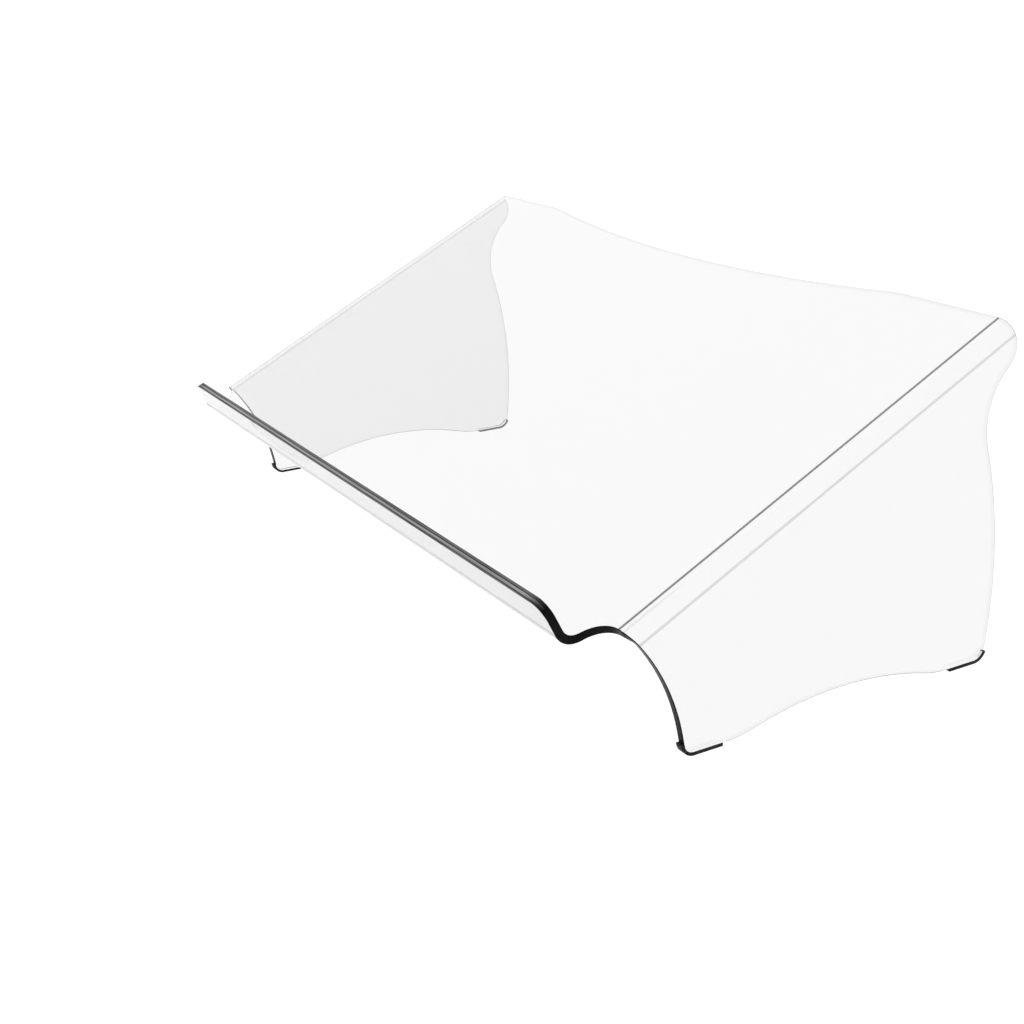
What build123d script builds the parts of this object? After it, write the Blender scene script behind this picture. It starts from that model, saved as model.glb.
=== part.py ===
"""Clear acrylic document stand: one heat-bent sheet on four rubber edge strips.

Millimetres, +Z up, +X to the user's right, +Y away from the user. The origin
is on the desk, under the centre of the stand's bounding box.

The sheet is drawn with y = 0 near the fold of its front lip, and moved to the
origin at the end. "Up" is measured up the slope of the panel from y = 0, and
"out" is measured square to the panel's top face.
"""
import os
from math import atan2, cos, degrees, dist, radians, sin, sqrt

from build123d import *

# Sheet
thickness = 4.5
width = 506.0                # over the outer faces of the legs
slope_angle = 26.6           # panel above the desk
panel_height = 62.0          # top face of the panel at y = 0
panel_rear = 277.0           # rear edge, up the slope

# Side bends, from the panel down into the legs
side_radius = 8.5            # outer face
bend_sections = 7

# Lip, folded up square to the panel
lip_front = -1.6             # its front face, up the slope
lip_height = 24.0            # out from the panel's top face
lip_half_length = 228.0
lip_corner_radius = 9.0
fold_radius = 6.5            # inner face

# Recess in the panel's rear edge
recess_depth = 13.8
recess_radius = 1080.0
recess_blend = 60.0

# Leg outline, seen along X
front_radius = 122.0
front_centre = (-95.65, -35.7)       # up, out
bow_centre = (-8.9, 42.0)            # y, z of the convex part of the rear edge
notch_centre = (276.35, 133.73)      # y, z of its concave part, under the panel's corner
notch_radius = 39.6
ear_radius = 13.0
toe_radius = 6.0
heel_radius = 7.0
arch_middle = 149.0
arch_height = 10.0
arch_radius = 211.0
arch_blend = 60.0

# Rubber strips on the legs' corners
strip_base = 1.5             # under the edge of the sheet, so the sheet stands this high
strip_side = 0.4             # on the outer face of the sheet
strip_grip = 0.3             # reach up that face
front_strip_end = 74.0       # y
front_strip_rise = 7.0       # z
rear_strip_start = 224.0     # y
rear_strip_rise = 5.5        # z

half_width = width / 2
bow_radius = dist(bow_centre, notch_centre) - notch_radius     # tangent to the notch
bend_start = half_width - side_radius
fold_line = lip_front + thickness + fold_radius
slope = Plane(
    origin=(0, 0, panel_height),
    x_dir=(1, 0, 0),
    z_dir=(0, -sin(radians(slope_angle)), cos(radians(slope_angle))),
)


def front_edge(out):
    """How far up the slope the front edge of the leg lies."""
    centre_up, centre_out = front_centre
    return centre_up + sqrt(front_radius**2 - (out - centre_out) ** 2)


def side_view(up, out):
    """The y and z of a point in the slope's own axes."""
    point = slope.from_local_coords(Vector(0, up, out))
    return point.Y, point.Z


def arc(centre, radius, start, end):
    """The shorter way round a circle, between two directions in degrees."""
    sweep = (end - start + 180) % 360 - 180
    return CenterArc(centre, radius, start, sweep)


def direction(centre, point):
    return degrees(atan2(point[1] - centre[1], point[0] - centre[0]))


def corners(sketch, *points):
    """The sketch's vertices nearest to the given points."""
    vertices = sketch.vertices()
    return [min(vertices, key=lambda v: (Vector(v) - Vector(*p)).length) for p in points]


def panel_planform():
    """The panel and lip seen square to the panel: round relief cuts, rear recess."""
    length = panel_rear - lip_front
    outline = Pos(0, lip_front) * Rectangle(
        2 * bend_start, length, align=(Align.CENTER, Align.MIN)
    )
    outline -= Pos(0, panel_rear - recess_depth + recess_radius) * Circle(recess_radius)
    recess_end = sqrt(recess_radius**2 - (recess_radius - recess_depth) ** 2)
    ends = corners(outline, (-recess_end, panel_rear), (recess_end, panel_rear))
    outline = fillet(ends, recess_blend)

    # Each relief is a quarter circle from the end of the lip to the side bend.
    relief = bend_start - lip_half_length
    relief_up = front_edge(0) - relief
    for side in (-1, 1):
        outline -= Pos(side * bend_start, relief_up) * Circle(relief)
        outline -= Pos(side * bend_start, lip_front) * Rectangle(
            2 * relief, 2 * (relief_up - lip_front)
        )
    return outline


def panel_and_lip():
    """Panel, fold and lip, in the slope's own axes."""
    flat = Pos(0, fold_line, -thickness) * Box(
        2 * bend_start, panel_rear - fold_line, thickness,
        align=(Align.CENTER, Align.MIN, Align.MIN),
    )
    ring = Circle(fold_radius + thickness) - Circle(fold_radius)
    quarter = Rectangle(
        fold_radius + thickness, fold_radius + thickness, align=(Align.MAX, Align.MAX)
    )
    wall = Pos(lip_front, fold_radius) * Rectangle(
        thickness, lip_height - fold_radius, align=(Align.MIN, Align.MIN)
    )
    section = wall + Pos(fold_line, fold_radius) * (ring & quarter)
    rail = extrude(Plane.YZ.offset(-bend_start) * section, 2 * bend_start)
    sheet = flat + rail
    sheet &= extrude(Plane.XY.offset(-2 * thickness) * panel_planform(), 3 * thickness + lip_height)

    ears = [
        edge for edge in sheet.edges().filter_by(Axis.Y)
        if edge.center().Z > lip_height - thickness and edge.center().Y < fold_line
    ]
    return fillet(ears, lip_corner_radius)


def side_bend():
    """The right bend, in the slope's own axes, with its front edge cut square to the sheet."""
    axis = (bend_start, -side_radius)
    ring = Circle(side_radius) - Circle(side_radius - thickness)
    quarter = Rectangle(side_radius, side_radius, align=(Align.MIN, Align.MIN))
    section = Plane.XZ * Pos(*axis) * (ring & quarter)
    bend = extrude(section, -panel_rear)

    sections = []
    for step in range(-1, bend_sections + 1):
        turn = radians(90 * step / (bend_sections - 1))
        reach = front_edge(-side_radius * (1 - cos(turn)))
        radial = Plane(
            origin=(axis[0], 0, axis[1]),
            x_dir=(0, 1, 0),
            z_dir=Vector(0, 1, 0).cross(Vector(sin(turn), 0, cos(turn))),
        )
        blade = Pos(0, side_radius / 4) * Rectangle(
            reach, side_radius, align=(Align.MIN, Align.MIN)
        )
        sections.append(radial * blade)
    return bend - loft(sections)


def leg_outline():
    """The leg seen along X, below the bend."""
    bend_end = -side_radius
    front_middle = side_view(*front_centre)
    front_top = side_view(front_edge(bend_end), bend_end)
    rear_top = side_view(panel_rear, bend_end)
    notch = slope.to_local_coords(Vector(0, *notch_centre))
    ear_out = notch.Z + sqrt(notch_radius**2 - (panel_rear - notch.Y) ** 2)
    ear = side_view(panel_rear, ear_out)

    sole = strip_base
    toe = (front_middle[0] + sqrt(front_radius**2 - (sole - front_middle[1]) ** 2), sole)
    heel = (bow_centre[0] + sqrt(bow_radius**2 - (sole - bow_centre[1]) ** 2), sole)
    meeting = direction(bow_centre, notch_centre)
    edge = Curve() + [
        Line(rear_top, ear),
        arc(notch_centre, notch_radius, direction(notch_centre, ear), meeting + 180),
        arc(bow_centre, bow_radius, meeting, direction(bow_centre, heel)),
        Line(heel, toe),
        arc(front_middle, front_radius, direction(front_middle, toe), direction(front_middle, front_top)),
        Line(front_top, rear_top),
    ]
    outline = Sketch() + make_face(edge.edges())

    outline -= Pos(arch_middle, sole + arch_height - arch_radius) * Circle(arch_radius)
    half_arch = sqrt(arch_radius**2 - (arch_radius - arch_height) ** 2)
    arch_ends = corners(outline, (arch_middle - half_arch, sole), (arch_middle + half_arch, sole))
    outline = fillet(arch_ends, arch_blend)
    outline = fillet(corners(outline, ear), ear_radius)
    outline = fillet(corners(outline, toe), toe_radius)
    return fillet(corners(outline, heel), heel_radius)


def acrylic_body():
    leg = extrude(Plane.YZ.offset(half_width - thickness) * leg_outline(), thickness)
    right = leg + slope.location * side_bend()
    return slope.location * panel_and_lip() + right + mirror(right, Plane.YZ)


def edge_strip(low, high):
    """The right-hand strip that follows the leg's edge inside a window of the side view."""
    outline = leg_outline()
    band = offset(outline, strip_base) - offset(outline, -strip_grip)
    window = Pos(*low) * Rectangle(
        high[0] - low[0], high[1] - low[1], align=(Align.MIN, Align.MIN)
    )
    inner_side = Plane.YZ.offset(half_width - thickness)
    strip = extrude(inner_side * (band & window), thickness + strip_side)
    return strip - extrude(inner_side * outline, thickness)


body = acrylic_body()
front_strip = edge_strip((0, 0), (front_strip_end, front_strip_rise))
rear_strip = edge_strip((rear_strip_start, 0), (panel_rear, rear_strip_rise))
nodes = {
    "acrylic_body": body,
    "foot_front_right": front_strip,
    "foot_front_left": mirror(front_strip, Plane.YZ),
    "foot_rear_right": rear_strip,
    "foot_rear_left": mirror(rear_strip, Plane.YZ),
}

to_origin = Pos(0, -body.bounding_box().center().Y, 0)
os.makedirs("parts", exist_ok=True)
for name, shape in nodes.items():
    export_step(to_origin * shape, f"parts/{name}.step")

extent = (to_origin * body).bounding_box()
print("body from", extent.min, "to", extent.max)
print("y of the drawing's zero:", to_origin.position.Y)
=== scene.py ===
import bmesh
import bpy
import math
from mathutils import Matrix, Vector


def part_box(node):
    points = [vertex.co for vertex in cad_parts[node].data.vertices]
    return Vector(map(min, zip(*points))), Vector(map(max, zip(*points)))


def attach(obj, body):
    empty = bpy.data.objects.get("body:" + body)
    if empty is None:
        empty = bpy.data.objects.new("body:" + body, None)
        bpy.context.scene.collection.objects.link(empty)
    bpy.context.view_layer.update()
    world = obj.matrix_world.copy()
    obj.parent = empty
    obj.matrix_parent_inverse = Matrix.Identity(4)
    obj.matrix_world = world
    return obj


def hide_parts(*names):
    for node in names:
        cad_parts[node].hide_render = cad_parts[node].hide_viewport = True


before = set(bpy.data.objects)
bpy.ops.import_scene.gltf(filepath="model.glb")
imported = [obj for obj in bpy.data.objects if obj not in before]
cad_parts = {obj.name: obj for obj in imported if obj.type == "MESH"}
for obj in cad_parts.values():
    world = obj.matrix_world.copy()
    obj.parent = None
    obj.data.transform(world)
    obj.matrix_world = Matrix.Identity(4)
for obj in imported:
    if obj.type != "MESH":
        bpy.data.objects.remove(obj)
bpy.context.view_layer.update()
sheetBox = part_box("acrylic_body")
stripBoxes = [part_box(node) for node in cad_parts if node.startswith("foot")]
print("frame loaded")

# camera

cameraSet = {
    "place": (0.77972, -0.33448, 0.36643),  # y from the front of the lip
    "yaw": 59.27,
    "pitch": -19.07,
    "roll": -0.81,
    "lens": 54.88,
    "sensor": 36,
    "shift": (-0.01425, -0.0293),
    "farEnd": 200,
}


def makeCamera():
    camera = bpy.data.objects.new("camera", bpy.data.cameras.new("camera"))
    camera.data.lens = cameraSet["lens"]
    camera.data.sensor_width = cameraSet["sensor"]
    camera.data.shift_x, camera.data.shift_y = cameraSet["shift"]
    camera.data.clip_end = cameraSet["farEnd"]
    aim = Matrix.Rotation(math.radians(cameraSet["yaw"]), 4, "Z")
    aim = aim @ Matrix.Rotation(math.radians(90 + cameraSet["pitch"]), 4, "X")
    aim = aim @ Matrix.Rotation(math.radians(cameraSet["roll"]), 4, "Z")
    place = Vector(cameraSet["place"]) + Vector((0, sheetBox[0].y, 0))
    camera.matrix_world = Matrix.Translation(place) @ aim
    bpy.context.scene.collection.objects.link(camera)
    bpy.context.scene.camera = camera


makeCamera()
print("camera placed")

# the sheet, in millimetres and laid out flat:
# along is across the stand, up is up the slope of the panel

sheet = {
    "thickness": 4.5,
    "width": 506.0,
    "slope": 26.6,
    "height": 62.0,  # top face of the panel where up is 0
    "rear": 277.0,
    "sideRadius": 8.5,  # outer face
    "foldRadius": 6.5,  # inner face
    "foldLine": 9.4,
    "lipHeight": 24.0,
    "lipHalf": 228.0,
    "lipCorner": 9.0,
    "recessDepth": 13.8,
    "recessRadius": 1080.0,
    "recessBlend": 60.0,
    "bendSteps": 20,
    "guard": 0.8,  # narrow row beside a bend, so that the flats shade flat
    "bendShadeLine": 1.3,  # width of the painted shade line at each side of a bend
    "foldShadeLine": (-1.8, 3.0),  # the same on the lip's outer face, from the end of its fold
    "lipShadeBands": (1.5, 1.95, 3.35, 3.75),  # depths where the painted light and shade on the lip's edge changes tone
    "lipShadeFade": 226.5,  # the painted bands end here, on the lip's corner
    "chordError": 0.012,
    "edgeRound": 0.35,
    "edgeSegments": 2,
    "cutReach": 0.02,
    "mergeReach": 0.001,
    "faceReach": 0.01,  # how near the panel's top face a face of it lies
    "flatNormal": 0.9,  # faces that point this nearly up or down aren't the cut edge
    "stripGap": 0.03,  # so that the sheet and the strips don't share a surface
}

# the leg's outline, seen from the side: y from the drawing's zero, z from the desk
leg = {
    "frontCentre": (-95.65, -35.7),  # up the slope and out of it
    "frontRadius": 122.0,
    "bowCentre": (-8.9, 42.0),
    "notchCentre": (276.35, 133.73),
    "notchRadius": 39.6,
    "earRadius": 13.0,
    "toeRadius": 6.0,
    "heelRadius": 7.0,
    "sole": 1.5,
    "archMiddle": 149.0,
    "archHeight": 10.0,
    "archRadius": 211.0,
    "archBlend": 60.0,
}

# the sheet's surfaces, in the order of its materials
surfaces = {
    "acrylic": 0,
    "edge": 1,
    "bendNear": 2,
    "bendFar": 3,
    "lipMiddle": 4,
    "lipRim": 5,
    "fold": 6,
    "lip": 7,
}
shadeBandSurfaces = ("lipRim", "edge", "lipMiddle", "edge", "lipRim")  # painted bands of light and shade, through the sheet

millimetre = 0.001
slope = math.radians(sheet["slope"])
bendStart = sheet["width"] / 2 - sheet["sideRadius"]
bendLength = (sheet["sideRadius"] - sheet["thickness"] / 2) * math.pi / 2
foldLength = (sheet["foldRadius"] + sheet["thickness"] / 2) * math.pi / 2
foldEnd = sheet["foldLine"] - foldLength
lipTop = foldEnd - (sheet["lipHeight"] - sheet["foldRadius"])
legStart = bendStart + bendLength


def flatLeg(y, z):
    # a point of the side view on the flat sheet
    up = y * math.cos(slope) + (z - sheet["height"]) * math.sin(slope)
    out = -y * math.sin(slope) + (z - sheet["height"]) * math.cos(slope)
    return Vector((legStart - sheet["sideRadius"] - out, up))


def flatFront(out):
    # where the leg's front edge lies at a depth below the panel's face
    centre, radius = leg["frontCentre"], leg["frontRadius"]
    return centre[0] + math.sqrt(radius**2 - (out - centre[1]) ** 2)


def touching(centre, reach, level, side):
    # the point of a circle at a level, on one side of its centre
    return Vector((centre[0] + side * math.sqrt(reach**2 - (level - centre[1]) ** 2), level))


def towards(centre, point, reach):
    return Vector(centre) + (Vector(point) - Vector(centre)).normalized() * reach


def lineTo(bm, tip, point):
    new = bmesh.ops.extrude_vert_indiv(bm, verts=[tip])["verts"][0]
    new.co = (point[0], point[1], 0)
    return new


def arcTo(bm, tip, centre, end, turn):
    # swing the tip round a centre until it points at end; turn is 1 anticlockwise, -1 clockwise
    middle = Vector((centre[0], centre[1], 0))
    start = tip.co - middle
    stop = Vector((end[0], end[1], 0)) - middle
    angle = (turn * (math.atan2(stop.y, stop.x) - math.atan2(start.y, start.x))) % math.tau
    steps = max(2, math.ceil(angle / (2 * math.acos(1 - sheet["chordError"] / start.length))))
    swung = bmesh.ops.spin(
        bm, geom=[tip], cent=middle, axis=(0, 0, 1), angle=turn * angle, steps=steps,
        use_duplicate=False,
    )
    return next(item for item in swung["geom_last"] if isinstance(item, bmesh.types.BMVert))


def drawLip(bm):
    # top edge from the middle, corner, relief, and the end of the side bend
    lipHalf, corner = sheet["lipHalf"], sheet["lipCorner"]
    first = bm.verts.new((0, lipTop, 0))
    tip = lineTo(bm, first, (lipHalf - corner, lipTop))
    cornerCentre = (lipHalf - corner, lipTop + corner)
    tip = arcTo(bm, tip, cornerCentre, (lipHalf, lipTop + corner), 1)
    relief = bendStart - lipHalf
    reliefCentre = (bendStart, flatFront(0) - relief)
    tip = lineTo(bm, tip, (lipHalf, reliefCentre[1]))
    tip = arcTo(bm, tip, reliefCentre, (bendStart, flatFront(0)), -1)
    for step in range(1, sheet["bendSteps"] + 1):
        turn = math.pi / 2 * step / sheet["bendSteps"]
        along = bendStart + bendLength * step / sheet["bendSteps"]
        tip = lineTo(bm, tip, (along, flatFront(-sheet["sideRadius"] * (1 - math.cos(turn)))))
    return first, tip


def drawFrontAndArch(bm, tip):
    frontUp, frontOut = leg["frontCentre"]
    frontCentre = Vector((
        frontUp * math.cos(slope) - frontOut * math.sin(slope),
        sheet["height"] + frontUp * math.sin(slope) + frontOut * math.cos(slope),
    ))
    sole, toeRadius = leg["sole"], leg["toeRadius"]
    toe = touching(frontCentre, leg["frontRadius"] + toeRadius, sole + toeRadius, 1)
    toeTop = towards(frontCentre, toe, leg["frontRadius"])
    tip = arcTo(bm, tip, flatLeg(*frontCentre), flatLeg(*toeTop), -1)
    tip = arcTo(bm, tip, flatLeg(*toe), flatLeg(toe.x, sole), 1)

    radius, blend = leg["archRadius"], leg["archBlend"]
    arch = Vector((leg["archMiddle"], sole + leg["archHeight"] - radius))
    near = touching(arch, radius + blend, sole + blend, -1)
    far = touching(arch, radius + blend, sole + blend, 1)
    tip = lineTo(bm, tip, flatLeg(near.x, sole))
    tip = arcTo(bm, tip, flatLeg(*near), flatLeg(*towards(arch, near, radius)), 1)
    tip = arcTo(bm, tip, flatLeg(*arch), flatLeg(*towards(arch, far, radius)), -1)
    return arcTo(bm, tip, flatLeg(*far), flatLeg(far.x, sole), 1)


def drawRear(bm, tip):
    # heel, bow, notch and ear
    bow, notch = Vector(leg["bowCentre"]), Vector(leg["notchCentre"])
    bowRadius = (notch - bow).length - leg["notchRadius"]
    heelRadius, earRadius = leg["heelRadius"], leg["earRadius"]
    heel = touching(bow, bowRadius - heelRadius, leg["sole"] + heelRadius, 1)
    tip = lineTo(bm, tip, flatLeg(heel.x, leg["sole"]))
    tip = arcTo(bm, tip, flatLeg(*heel), flatLeg(*towards(bow, heel, bowRadius)), 1)
    tip = arcTo(bm, tip, flatLeg(*bow), flatLeg(*towards(bow, notch, bowRadius)), 1)
    flatNotch = flatLeg(*notch)
    rear = sheet["rear"]
    ear = touching(flatNotch, leg["notchRadius"] + earRadius, rear - earRadius, -1)
    tip = arcTo(bm, tip, flatNotch, towards(flatNotch, ear, leg["notchRadius"]), -1)
    tip = arcTo(bm, tip, ear, (ear.x, rear), 1)

    # rear edge of the panel, with its recess
    radius, blendRadius = sheet["recessRadius"], sheet["recessBlend"]
    recess = Vector((0, rear - sheet["recessDepth"] + radius))
    blend = touching(recess, radius + blendRadius, rear - blendRadius, 1)
    tip = lineTo(bm, tip, (blend.x, rear))
    tip = arcTo(bm, tip, blend, towards(recess, blend, radius), 1)
    return arcTo(bm, tip, recess, (0, recess.y - radius), -1)


def drawHalfSheet(bm):
    first, tip = drawLip(bm)
    tip = drawFrontAndArch(bm, tip)
    tip = drawRear(bm, tip)
    bm.edges.new((tip, first))
    bmesh.ops.contextual_create(bm, geom=bm.edges[:])


def cutRows(bm, direction, places):
    for place in places:
        bmesh.ops.bisect_plane(
            bm, geom=bm.verts[:] + bm.edges[:] + bm.faces[:], dist=sheet["cutReach"],
            plane_co=direction * place, plane_no=direction,
        )


def cutBends(bm):
    # rows across each bend, and the edges of its painted shade lines
    steps, guard, half = sheet["bendSteps"], sheet["guard"], sheet["bendShadeLine"] / 2
    rows = [foldEnd + foldLength * step / steps for step in range(steps + 1)]
    foldShadeCuts = [foldEnd + reach for reach in sheet["foldShadeLine"]]
    cutRows(bm, Vector((0, 1, 0)), [foldEnd - guard, *rows, sheet["foldLine"] + guard, *foldShadeCuts])
    columns = [bendStart + bendLength * step / steps for step in range(steps + 1)]
    lines = [bendStart - half, bendStart + half, legStart - half, legStart + half]
    cutRows(bm, Vector((1, 0, 0)), [bendStart - guard, *columns, legStart + guard, *lines])


def thickenSheet(bm):
    bmesh.ops.mirror(
        bm, geom=bm.verts[:] + bm.edges[:] + bm.faces[:], axis="X",
        merge_dist=sheet["mergeReach"],
    )
    bmesh.ops.recalc_face_normals(bm, faces=bm.faces[:])
    if bm.faces[0].normal.z < 0:
        bmesh.ops.reverse_faces(bm, faces=bm.faces[:])
    bmesh.ops.solidify(bm, geom=bm.faces[:], thickness=sheet["thickness"])
    top = max(vert.co.z for vert in bm.verts)
    bmesh.ops.translate(bm, verts=bm.verts[:], vec=(0, 0, -top))


def roundRims(bm):
    # the cut edge has its own material, and so have its rounded rims
    bm.normal_update()
    for face in bm.faces:
        onFlat = abs(face.normal.z) > sheet["flatNormal"]
        face.material_index = surfaces["acrylic" if onFlat else "edge"]
    rims = [
        edge for edge in bm.edges
        if len({face.material_index for face in edge.link_faces}) == 2
    ]
    rounded = bmesh.ops.bevel(
        bm, geom=rims, offset=sheet["edgeRound"], offset_type="OFFSET", affect="EDGES",
        segments=sheet["edgeSegments"], profile=0.5, material=-1, clamp_overlap=False,
    )
    for face in rounded["faces"]:
        face.material_index = surfaces["edge"]
    cutRows(bm, Vector((0, 0, -1)), sheet["lipShadeBands"])
    bm.normal_update()


def surfaceAt(middle, kind):
    # which surface a face of the flat sheet belongs to; kind is what it is so far
    half = sheet["bendShadeLine"] / 2
    foldNear, foldFar = [foldEnd + reach for reach in sheet["foldShadeLine"]]
    if kind == surfaces["edge"]:
        if middle.y < lipTop + sheet["lipCorner"] / 2 and abs(middle.x) < sheet["lipShadeFade"]:
            return shadeBandSurfaces[sum(-middle.z > depth for depth in sheet["lipShadeBands"])]
        return "edge"
    if middle.z > -sheet["faceReach"]:
        if abs(middle.x - bendStart) < half:
            return "bendNear"
        if abs(middle.x + bendStart) < half or abs(abs(middle.x) - legStart) < half:
            return "bendFar"
    elif foldNear < middle.y < foldFar and abs(middle.x) < bendStart:
        return "fold"
    return "lip" if middle.y < foldEnd else "acrylic"


def bendSheet(bm):
    # fold the lip up, turn the legs down, tilt to the slope
    foldRadius, sideRadius = sheet["foldRadius"], sheet["sideRadius"]
    neutralFold = foldRadius + sheet["thickness"] / 2
    neutralSide = sideRadius - sheet["thickness"] / 2
    for vert in bm.verts:
        along, up, out = vert.co
        if up < sheet["foldLine"]:
            run = sheet["foldLine"] - up
            turn = min(run / neutralFold, math.pi / 2)
            rest = run - turn * neutralFold
            radius = foldRadius - out
            up = sheet["foldLine"] - radius * math.sin(turn)
            out = foldRadius - radius * math.cos(turn) + rest
        elif abs(along) > bendStart:
            run = abs(along) - bendStart
            turn = min(run / neutralSide, math.pi / 2)
            rest = run - turn * neutralSide
            radius = sideRadius + out
            along = math.copysign(bendStart + radius * math.sin(turn), along)
            out = radius * math.cos(turn) - sideRadius - rest
        vert.co = (along, up, out)
    tilt = Matrix.Translation((0, 0, sheet["height"])) @ Matrix.Rotation(slope, 4, "X")
    bmesh.ops.transform(bm, matrix=tilt, verts=bm.verts[:])


def shadeSheet(bm):
    # smooth, but sharp where the rounded edge meets a face
    bm.normal_update()
    cutEdge = {surfaces[name] for name in shadeBandSurfaces}
    for face in bm.faces:
        face.smooth = True
    for edge in bm.edges:
        edge.smooth = len({face.material_index in cutEdge for face in edge.link_faces}) < 2


def placeSheet(bm):
    lipFront = sheet["foldLine"] - sheet["foldRadius"] - sheet["thickness"]
    front = (lipFront * math.cos(slope) - sheet["lipHeight"] * math.sin(slope)) * millimetre
    bmesh.ops.scale(bm, vec=(millimetre, millimetre, millimetre), verts=bm.verts[:])
    bmesh.ops.translate(bm, verts=bm.verts[:], vec=(0, sheetBox[0].y - front, 0))


def underStrip(point):
    # on an edge that a rubber strip covers
    return any(
        low.x < point.x < high.x and low.y < point.y < high.y and point.z < high.z
        for low, high in stripBoxes
    )


def clearOfStrips(bm):
    # the covered edges stay clear, just inside the strips
    bm.normal_update()
    covered = [
        face for face in bm.faces
        if face.material_index == surfaces["edge"] and underStrip(face.calc_center_median())
    ]
    for face in covered:
        face.material_index = surfaces["acrylic"]
    for vert in {vert for face in covered for vert in face.verts}:
        vert.co -= vert.normal * sheet["stripGap"] * millimetre


def finishMesh(bm, name, materials):
    mesh = bpy.data.meshes.new(name)
    bm.to_mesh(mesh)
    bm.free()
    for material in materials:
        mesh.materials.append(material)
    piece = bpy.data.objects.new(name, mesh)
    bpy.context.scene.collection.objects.link(piece)
    return piece


def makeSheet(materials):
    bm = bmesh.new()
    drawHalfSheet(bm)
    cutBends(bm)
    thickenSheet(bm)
    roundRims(bm)
    for face in bm.faces:
        surface = surfaceAt(face.calc_center_median(), face.material_index)
        face.material_index = surfaces[surface]
    bendSheet(bm)
    shadeSheet(bm)
    placeSheet(bm)
    clearOfStrips(bm)
    return finishMesh(bm, "acrylicSheet", materials)


# finishes

acrylicLook = {
    "colour": (0.85, 0.85, 0.85, 1),
    # painted shade: the lip is a darker copy of the same acrylic
    "lipShadedColour": (0.75, 0.75, 0.75, 1),
    "caught": (0.88, 0.88, 0.88, 1),  # what reaches the eye of light caught inside the sheet
    "index": 1.49,
    "scratchScale": 900.0,
    "scratchRough": 0.012,
}
# painted shade: the cut edge is painted near black, for the dark look that refraction gives a
# clear edge
edgeShadeLook = {
    "dark": (0.001, 0.001, 0.0012, 1),
    "light": (0.006, 0.006, 0.007, 1),
    "grain": (60.0, 60.0, 60.0),
    "gloss": 0.05,
    "rough": (0.15, 0.3),
    "behind": (0.87, 0.87, 0.87, 1),  # what an edge lets through, seen from inside the sheet
}
# painted light and shade: pale and dark bands across the lip's clear cut edge, standing in for
# what refraction shows there
lipEdgeShadeLook = {
    "middle": ((0.14, 0.14, 0.14, 1), (0.36, 0.36, 0.36, 1)),
    "rim": ((0.06, 0.06, 0.06, 1), (0.16, 0.16, 0.16, 1)),
    "streak": (25.0, 1500.0, 1500.0),
    "fade": (0.211, 0.226),  # painted shade, from pale to dark, across the stand
}
# painted shade: dark tinted glass in lines along the bends, for the dark lines that refraction
# shows there
bendShadeLook = {
    "near": (0.045, 0.045, 0.045, 1),
    "far": (0.48, 0.48, 0.48, 1),
    "fold": (0.3, 0.3, 0.3, 1),
    "rough": 0.05,
}
rubberLook = {
    "dark": (0.002, 0.002, 0.002, 1),
    "light": (0.007, 0.007, 0.008, 1),
    "gloss": 0.2,
    "grainScale": 2200.0,
    "toneScale": 550.0,
    "rough": (0.5, 0.68),
    "bump": 0.12,
    "bumpDepth": 0.0002,
}
noiseSet = {
    "detail": 3,
    "span": (0.3, 0.7),  # where most of the noise lies
}
untinted = (1, 1, 1, 1)
floorRays = ("Is Shadow Ray", "Is Diffuse Ray")  # how light reaches the floor


def newMaterial(name):
    material = bpy.data.materials.new(name)
    material.use_nodes = True
    nodes, links = material.node_tree.nodes, material.node_tree.links
    return material, nodes, links, nodes["Principled BSDF"], nodes["Material Output"]


def noise(nodes, links, scale, stretch=(1, 1, 1)):
    where = nodes.new("ShaderNodeTexCoord")
    stretched = nodes.new("ShaderNodeMapping")
    stretched.inputs["Scale"].default_value = stretch
    grain = nodes.new("ShaderNodeTexNoise")
    grain.inputs["Scale"].default_value = scale
    grain.inputs["Detail"].default_value = noiseSet["detail"]
    links.new(where.outputs["Object"], stretched.inputs["Vector"])
    links.new(stretched.outputs["Vector"], grain.inputs["Vector"])
    return grain.outputs["Fac"]


def spread(nodes, links, value, low, high):
    span = nodes.new("ShaderNodeMapRange")
    span.inputs["From Min"].default_value, span.inputs["From Max"].default_value = noiseSet["span"]
    span.inputs["To Min"].default_value = low
    span.inputs["To Max"].default_value = high
    links.new(value, span.inputs["Value"])
    return span.outputs["Result"]


def blendColour(nodes, links, value, low, high):
    mix = nodes.new("ShaderNodeMix")
    mix.data_type = "RGBA"
    mix.inputs["A"].default_value = low
    mix.inputs["B"].default_value = high
    links.new(spread(nodes, links, value, 0, 1), mix.inputs["Factor"])
    return mix.outputs["Result"]


def passThrough(nodes, links, surface, source, rays, colour):
    # these rays go straight through
    clear = nodes.new("ShaderNodeBsdfTransparent")
    clear.inputs["Color"].default_value = colour
    for ray in rays:
        mix = nodes.new("ShaderNodeMixShader")
        links.new(source.outputs[ray], mix.inputs["Fac"])
        links.new(surface, mix.inputs[1])
        links.new(clear.outputs["BSDF"], mix.inputs[2])
        surface = mix.outputs["Shader"]
    return surface


def makeGlass(name, colour, rough):
    # light caught inside the sheet leaves it straight out, so no dark patches build up
    material, nodes, links, shader, output = newMaterial(name)
    shader.inputs["Base Color"].default_value = colour
    shader.inputs["IOR"].default_value = acrylicLook["index"]
    shader.inputs["Transmission Weight"].default_value = 1
    scratches = noise(nodes, links, acrylicLook["scratchScale"])
    links.new(spread(nodes, links, scratches, 0, rough), shader.inputs["Roughness"])
    path = nodes.new("ShaderNodeLightPath")
    caughtRays = ("Is Reflection Ray",)
    surface = passThrough(
        nodes, links, shader.outputs["BSDF"], path, caughtRays, acrylicLook["caught"]
    )
    surface = passThrough(nodes, links, surface, path, floorRays, untinted)
    links.new(surface, output.inputs["Surface"])
    return material


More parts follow.
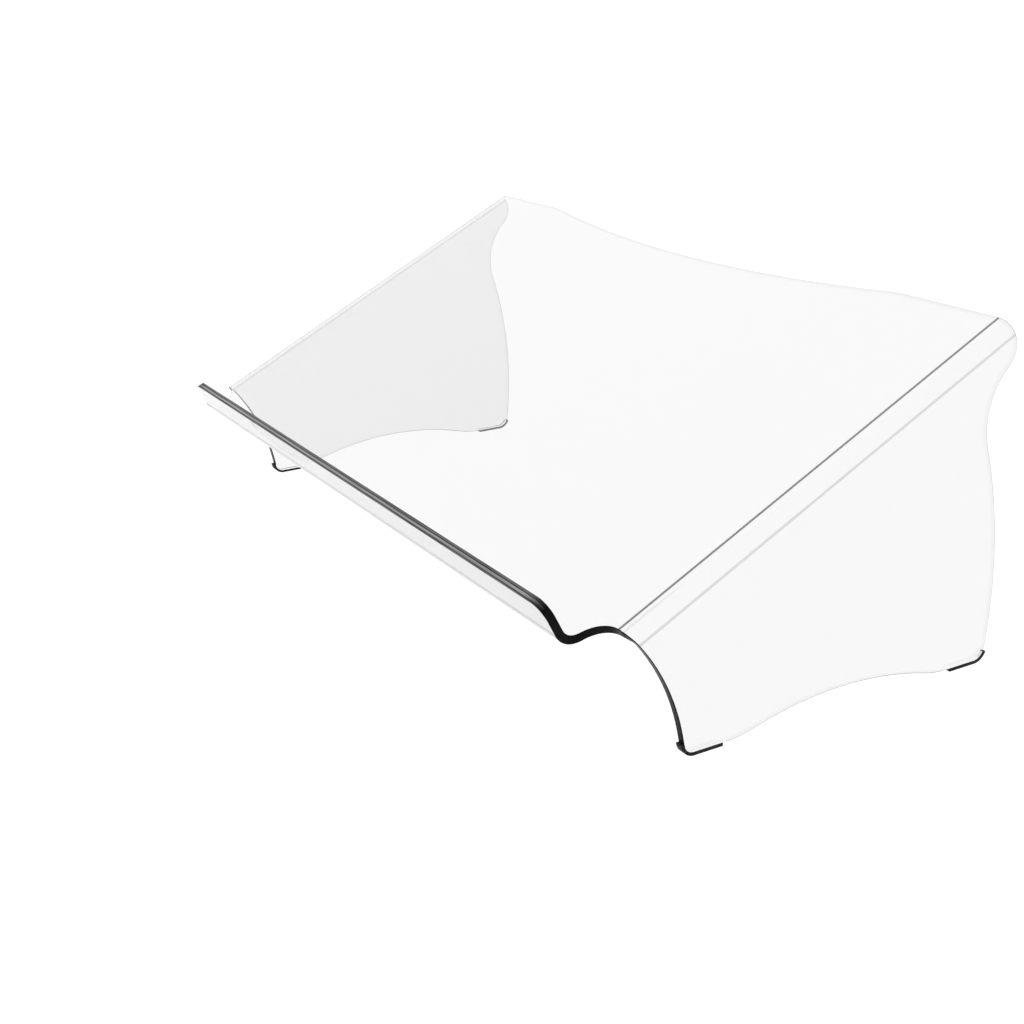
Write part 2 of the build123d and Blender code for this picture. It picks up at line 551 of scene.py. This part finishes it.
def shadeLipEnds(nodes, links, colour):
    # painted shade: the lip's bands go dark round its corners
    where = nodes.new("ShaderNodeTexCoord")
    apart = nodes.new("ShaderNodeSeparateXYZ")
    reach = nodes.new("ShaderNodeMath")
    reach.operation = "ABSOLUTE"
    fade = nodes.new("ShaderNodeMapRange")
    fade.inputs["From Min"].default_value, fade.inputs["From Max"].default_value = lipEdgeShadeLook["fade"]
    mix = nodes.new("ShaderNodeMix")
    mix.data_type = "RGBA"
    mix.inputs["B"].default_value = edgeShadeLook["dark"]
    links.new(where.outputs["Object"], apart.inputs["Vector"])
    links.new(apart.outputs["X"], reach.inputs[0])
    links.new(reach.outputs["Value"], fade.inputs["Value"])
    links.new(fade.outputs["Result"], mix.inputs["Factor"])
    links.new(colour, mix.inputs["A"])
    return mix.outputs["Result"]


def makeShadedEdge(name, tones, stretch, onLip=False):
    # painted shade: near black from outside, standing in for the dark look of a clear cut edge;
    # clear from inside
    material, nodes, links, shader, output = newMaterial(name)
    streaks = noise(nodes, links, 1, stretch)
    colour = blendColour(nodes, links, streaks, *tones)
    if onLip:
        colour = shadeLipEnds(nodes, links, colour)
    links.new(colour, shader.inputs["Base Color"])
    links.new(spread(nodes, links, streaks, *edgeShadeLook["rough"]), shader.inputs["Roughness"])
    shader.inputs["Specular IOR Level"].default_value = edgeShadeLook["gloss"]
    side = nodes.new("ShaderNodeNewGeometry")
    path = nodes.new("ShaderNodeLightPath")
    surface = passThrough(
        nodes, links, shader.outputs["BSDF"], side, ("Backfacing",), edgeShadeLook["behind"]
    )
    surface = passThrough(nodes, links, surface, path, floorRays, untinted)
    links.new(surface, output.inputs["Surface"])
    return material


def makeRubber():
    material, nodes, links, shader, output = newMaterial("blackRubber")
    grain = noise(nodes, links, rubberLook["grainScale"])
    tone = noise(nodes, links, rubberLook["toneScale"])
    colour = blendColour(nodes, links, tone, rubberLook["dark"], rubberLook["light"])
    links.new(colour, shader.inputs["Base Color"])
    links.new(spread(nodes, links, grain, *rubberLook["rough"]), shader.inputs["Roughness"])
    shader.inputs["Specular IOR Level"].default_value = rubberLook["gloss"]
    bump = nodes.new("ShaderNodeBump")
    bump.inputs["Strength"].default_value = rubberLook["bump"]
    bump.inputs["Distance"].default_value = rubberLook["bumpDepth"]
    links.new(grain, bump.inputs["Height"])
    links.new(bump.outputs["Normal"], shader.inputs["Normal"])
    path = nodes.new("ShaderNodeLightPath")
    surface = passThrough(nodes, links, shader.outputs["BSDF"], path, floorRays, untinted)
    links.new(surface, output.inputs["Surface"])
    return material


blackRubber = makeRubber()
acrylicSheet = makeSheet([
    makeGlass("clearAcrylic", acrylicLook["colour"], acrylicLook["scratchRough"]),
    makeShadedEdge("edgePaintedShade", (edgeShadeLook["dark"], edgeShadeLook["light"]), edgeShadeLook["grain"]),
    makeGlass("bendShadeNear", bendShadeLook["near"], bendShadeLook["rough"]),
    makeGlass("bendShadeFar", bendShadeLook["far"], bendShadeLook["rough"]),
    makeShadedEdge("lipEdgeShadeMiddle", lipEdgeShadeLook["middle"], lipEdgeShadeLook["streak"], onLip=True),
    makeShadedEdge("lipEdgeShadeRim", lipEdgeShadeLook["rim"], lipEdgeShadeLook["streak"], onLip=True),
    makeGlass("bendShadeFold", bendShadeLook["fold"], bendShadeLook["rough"]),
    makeGlass("lipAcrylicShaded", acrylicLook["lipShadedColour"], acrylicLook["scratchRough"]),
])
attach(acrylicSheet, "root")
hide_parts("acrylic_body")
print("acrylic sheet bent", len(acrylicSheet.data.polygons))

# rubber strips on the legs' corners

strip = {
    "round": 0.0001,
    "segments": 2,
    "mergeReach": 1e-6,
    "flatAngle": 0.5,  # faces closer than this are one face
    "sharpAngle": 40,  # edges to round
    "creaseAngle": 28,  # edges to keep sharp
    "names": {
        "foot_front_left": "stripFrontLeft",
        "foot_front_right": "stripFrontRight",
        "foot_rear_left": "stripRearLeft",
        "foot_rear_right": "stripRearRight",
    },
}


def makeStrip(node, name):
    bm = bmesh.new()
    bm.from_mesh(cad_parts[node].data)
    bmesh.ops.remove_doubles(bm, verts=bm.verts[:], dist=strip["mergeReach"])
    bmesh.ops.dissolve_limit(
        bm, verts=bm.verts[:], edges=bm.edges[:], angle_limit=math.radians(strip["flatAngle"])
    )
    sharp = [
        edge for edge in bm.edges
        if edge.calc_face_angle(0) > math.radians(strip["sharpAngle"])
    ]
    bmesh.ops.bevel(
        bm, geom=sharp, offset=strip["round"], offset_type="OFFSET", affect="EDGES",
        segments=strip["segments"], profile=0.5, material=-1, clamp_overlap=True,
    )
    for face in bm.faces:
        face.smooth = True
    for edge in bm.edges:
        edge.smooth = edge.calc_face_angle(0) < math.radians(strip["creaseAngle"])
    piece = finishMesh(bm, name, [blackRubber])
    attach(piece, "root")
    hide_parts(node)


for node, name in strip["names"].items():
    makeStrip(node, name)
print("rubber strips made")

# floor and light

studio = {
    "floorSize": 40.0,
    "floorTone": (0.97, 0.97, 0.97, 1),
    "floorRough": 1.0,
    "floorGloss": 0.0,
    "skyTone": (1, 1, 1, 1),
    "skyStrength": 1.13,
}


def makeFloor():
    bm = bmesh.new()
    bmesh.ops.create_grid(bm, x_segments=1, y_segments=1, size=studio["floorSize"])
    material, nodes, links, shader, output = newMaterial("paleFloor")
    shader.inputs["Base Color"].default_value = studio["floorTone"]
    shader.inputs["Roughness"].default_value = studio["floorRough"]
    shader.inputs["Specular IOR Level"].default_value = studio["floorGloss"]
    finishMesh(bm, "floor", [material])


def makeLight():
    world = bpy.data.worlds.new("studio")
    bpy.context.scene.world = world
    world.use_nodes = True
    sky = world.node_tree.nodes["Background"]
    sky.inputs["Color"].default_value = studio["skyTone"]
    sky.inputs["Strength"].default_value = studio["skyStrength"]


makeFloor()
makeLight()
bpy.context.scene.view_settings.view_transform = "Standard"
print("floor and light set")
